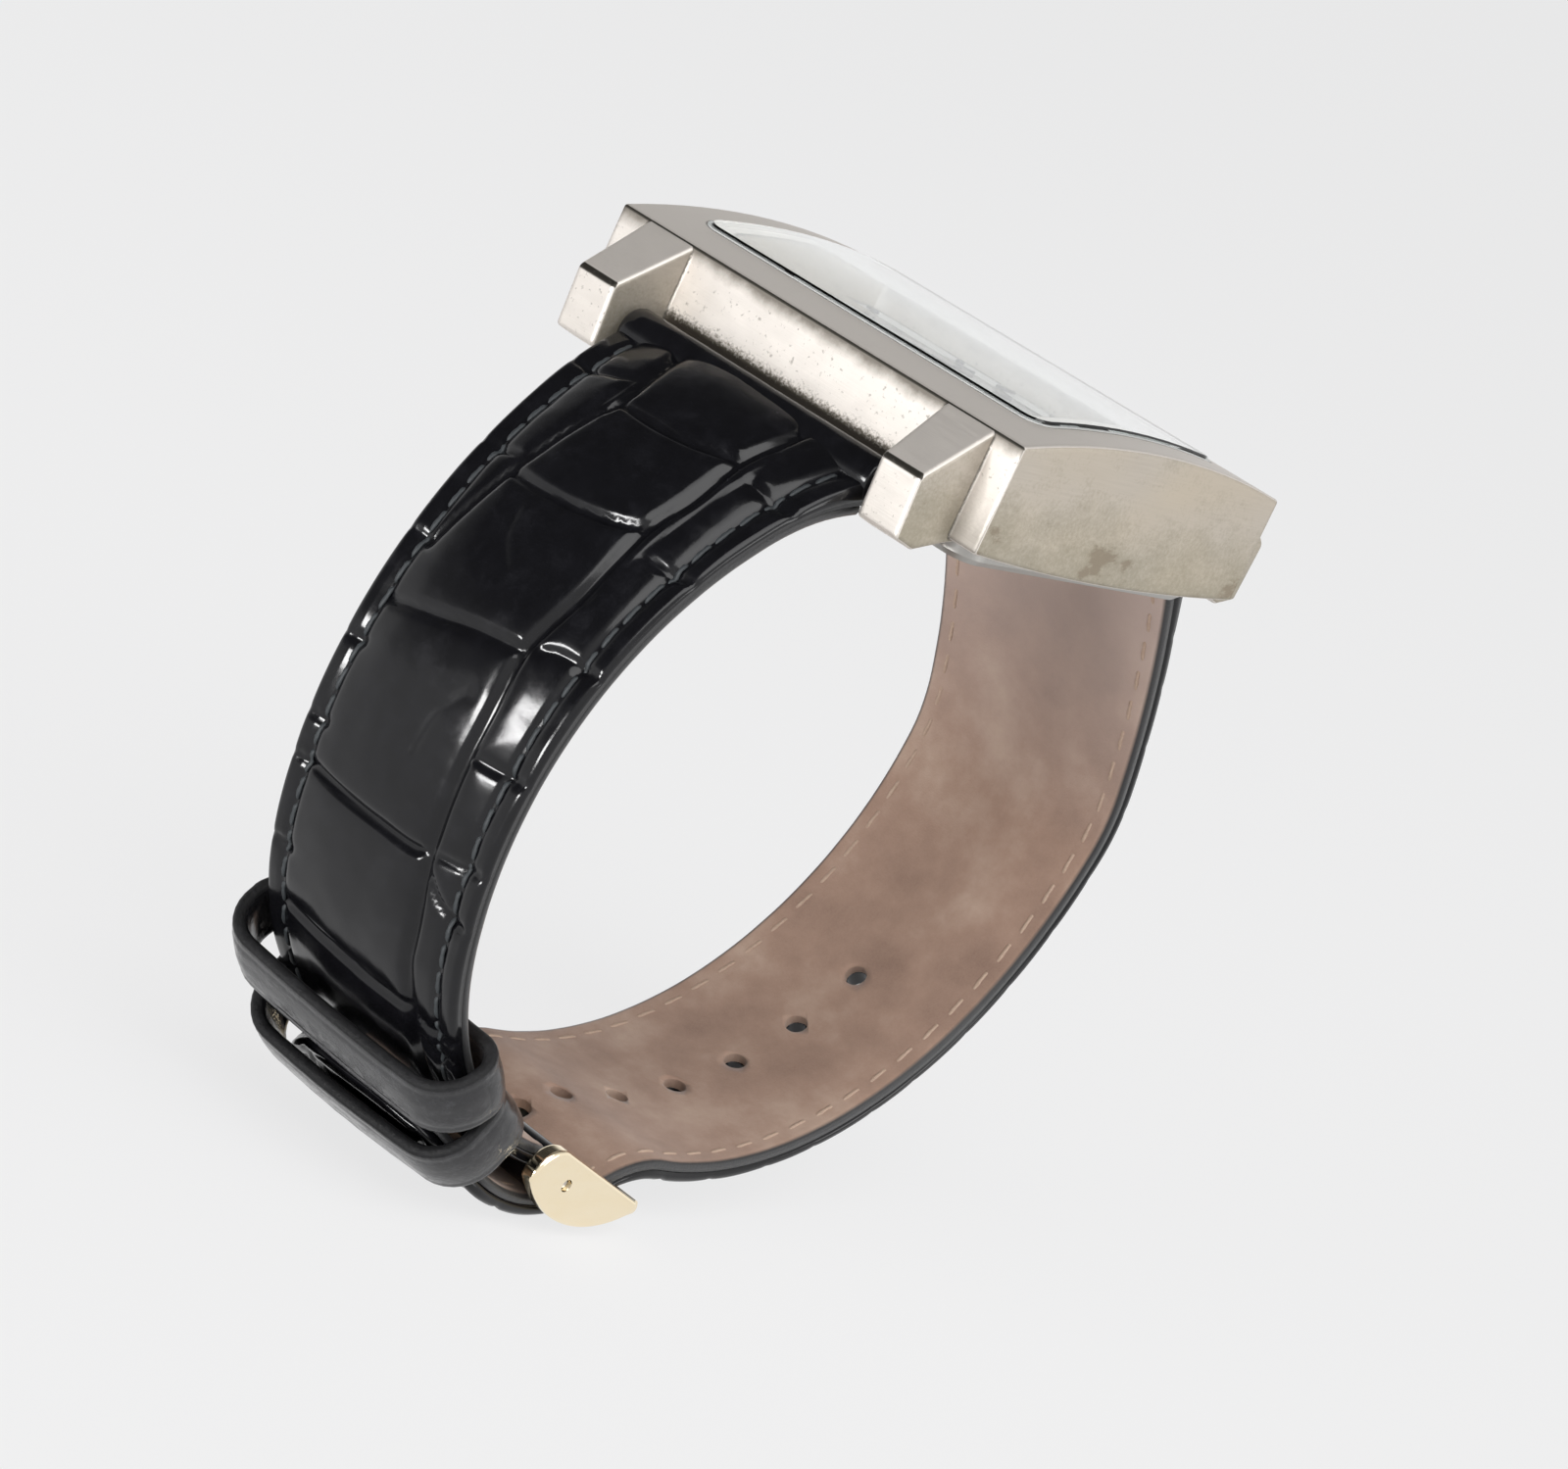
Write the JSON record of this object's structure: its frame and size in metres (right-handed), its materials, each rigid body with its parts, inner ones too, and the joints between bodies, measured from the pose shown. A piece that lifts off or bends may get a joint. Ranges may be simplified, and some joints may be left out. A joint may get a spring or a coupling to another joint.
{
  "type": "rectangular wristwatch",
  "caption": "Rectangular metal wristwatch with an arched crystal, stubby lugs and a padded leather strap closed by a pin buckle and keepers.",
  "frame": {"origin": "centre of the case back's outer face", "axes": "+X towards 3 o'clock and the crown, +Y towards 12 o'clock, +Z out of the dial"},
  "size_m": [0.0392, 0.0648, 0.0614],
  "materials": {
    "case_metal": "brushed nickel-grey with polished ends, worn",
    "back_metal": "brushed",
    "crystal": "clear mineral glass",
    "gasket": "black rubber",
    "dial_face": "silvered satin",
    "marker_metal": "polished dark",
    "hand_metal": "blackened steel",
    "holder_plastic": "white moulded",
    "movement_brass": "satin brass",
    "gear_brass": "cut brass",
    "bridge_steel": "nickelled",
    "screw_steel": "turned",
    "cell_steel": "nickelled can",
    "copper_wire": "enamelled copper",
    "board_laminate": "green laminate",
    "stem_steel": "hardened steel",
    "crown_metal": "polished, fluted",
    "spring_steel": "drawn",
    "strap_leather": "glossy black, embossed in large scales",
    "lining_leather": "tan brushed lining",
    "keeper_leather": "smooth black",
    "buckle_gold": "polished pale gold"
  },
  "bodies": {
    "case": {"mid_case": "case_metal", "case_back": "back_metal", "case_back_screws": "screw_steel", "case_back_gasket": "gasket", "crystal": "crystal", "crystal_gasket": "gasket", "dial": "dial_face", "hour_markers": "marker_metal", "movement_holder": "holder_plastic", "movement_plate": "movement_brass", "train_bridge": "bridge_steel", "battery": "cell_steel", "battery_clamp": "spring_steel", "coil": "copper_wire", "circuit_board": "board_laminate", "bridge_screws": "screw_steel", "crown_tube": "stem_steel", "buckle_strap_leather": "strap_leather", "buckle_strap_lining": "lining_leather", "hole_strap_leather": "strap_leather", "hole_strap_lining": "lining_leather", "fixed_keeper": "keeper_leather", "buckle_bar_tube": "spring_steel", "lug_bar_tube_12": "spring_steel", "lug_bar_tube_6": "spring_steel"},
    "minutes": {"cannon_pinion": "stem_steel", "minute_hand": "hand_metal"},
    "minute_wheel": {"minute_wheel": "gear_brass"},
    "hours": {"hour_wheel": "gear_brass", "hour_hand": "hand_metal"},
    "setting": {"setting_pinion": "stem_steel"},
    "crown": {"crown": "crown_metal", "winding_stem": "stem_steel", "crown_gasket": "gasket"},
    "keeper": {"sliding_keeper": "keeper_leather"},
    "buckle": {"buckle_frame": "buckle_gold"},
    "tang": {"buckle_tang": "buckle_gold"},
    "lug_pin_12_left": {"lug_bar_pin_12_left": "spring_steel"},
    "lug_pin_12_right": {"lug_bar_pin_12_right": "spring_steel"},
    "lug_pin_6_left": {"lug_bar_pin_6_left": "spring_steel"},
    "lug_pin_6_right": {"lug_bar_pin_6_right": "spring_steel"},
    "buckle_pin_left": {"buckle_bar_pin_left": "spring_steel"},
    "buckle_pin_right": {"buckle_bar_pin_right": "spring_steel"}
  },
  "joints": [
    {"name": "minute_hand_turn", "type": "hinge", "parent": "case", "child": "minutes", "pos_m": [0, 0, 0.006], "axis": [0, 0, 1], "continuous": true},
    {"name": "minute_wheel_turn", "type": "hinge", "parent": "case", "child": "minute_wheel", "pos_m": [0.00221, -0.00185, 0.0052], "axis": [0, 0, 1], "continuous": true},
    {"name": "hour_hand_turn", "type": "hinge", "parent": "case", "child": "hours", "pos_m": [0, 0, 0.006], "axis": [0, 0, 1], "continuous": true},
    {"name": "crown_turn", "type": "hinge", "parent": "case", "child": "setting", "pos_m": [0.0076, 0, 0.00405], "axis": [1, 0, 0], "continuous": true},
    {"name": "crown_pull", "type": "slide", "parent": "setting", "child": "crown", "axis": [1, 0, 0], "range_m": [0, 0.0012]},
    {"name": "keeper_slide", "type": "hinge", "parent": "case", "child": "keeper", "pos_m": [0, 0.01257, -0.02647], "axis": [1, 0, 0], "range_deg": [0, 20]},
    {"name": "buckle_swing", "type": "hinge", "parent": "case", "child": "buckle", "pos_m": [0, 0.0146, -0.04725], "axis": [1, 0, 0], "range_deg": [0, 6]},
    {"name": "tang_swing", "type": "hinge", "parent": "buckle", "child": "tang", "pos_m": [0, 0.0146, -0.04725], "axis": [1, 0, 0], "range_deg": [0, 4]},
    {"name": "lug_pin_12_left_press", "type": "slide", "parent": "case", "child": "lug_pin_12_left", "axis": [1, 0, 0], "range_m": [0, 0.00095], "stiffness_N_per_m": 500, "springref_m": -0.0005},
    {"name": "lug_pin_12_right_press", "type": "slide", "parent": "case", "child": "lug_pin_12_right", "axis": [-1, 0, 0], "range_m": [0, 0.00095], "stiffness_N_per_m": 500, "springref_m": -0.0005},
    {"name": "lug_pin_6_left_press", "type": "slide", "parent": "case", "child": "lug_pin_6_left", "axis": [1, 0, 0], "range_m": [0, 0.00095], "stiffness_N_per_m": 500, "springref_m": -0.0005},
    {"name": "lug_pin_6_right_press", "type": "slide", "parent": "case", "child": "lug_pin_6_right", "axis": [-1, 0, 0], "range_m": [0, 0.00095], "stiffness_N_per_m": 500, "springref_m": -0.0005},
    {"name": "buckle_pin_left_press", "type": "slide", "parent": "case", "child": "buckle_pin_left", "axis": [1, 0, 0], "range_m": [0, 0.001], "stiffness_N_per_m": 500, "springref_m": -0.0005},
    {"name": "buckle_pin_right_press", "type": "slide", "parent": "case", "child": "buckle_pin_right", "axis": [-1, 0, 0], "range_m": [0, 0.001], "stiffness_N_per_m": 500, "springref_m": -0.0005}
  ],
  "couplings": [
    {"joint": "minute_wheel_turn", "follows": "minute_hand_turn", "ratio": -0.33333},
    {"joint": "hour_hand_turn", "follows": "minute_hand_turn", "ratio": 0.083333}
  ]
}
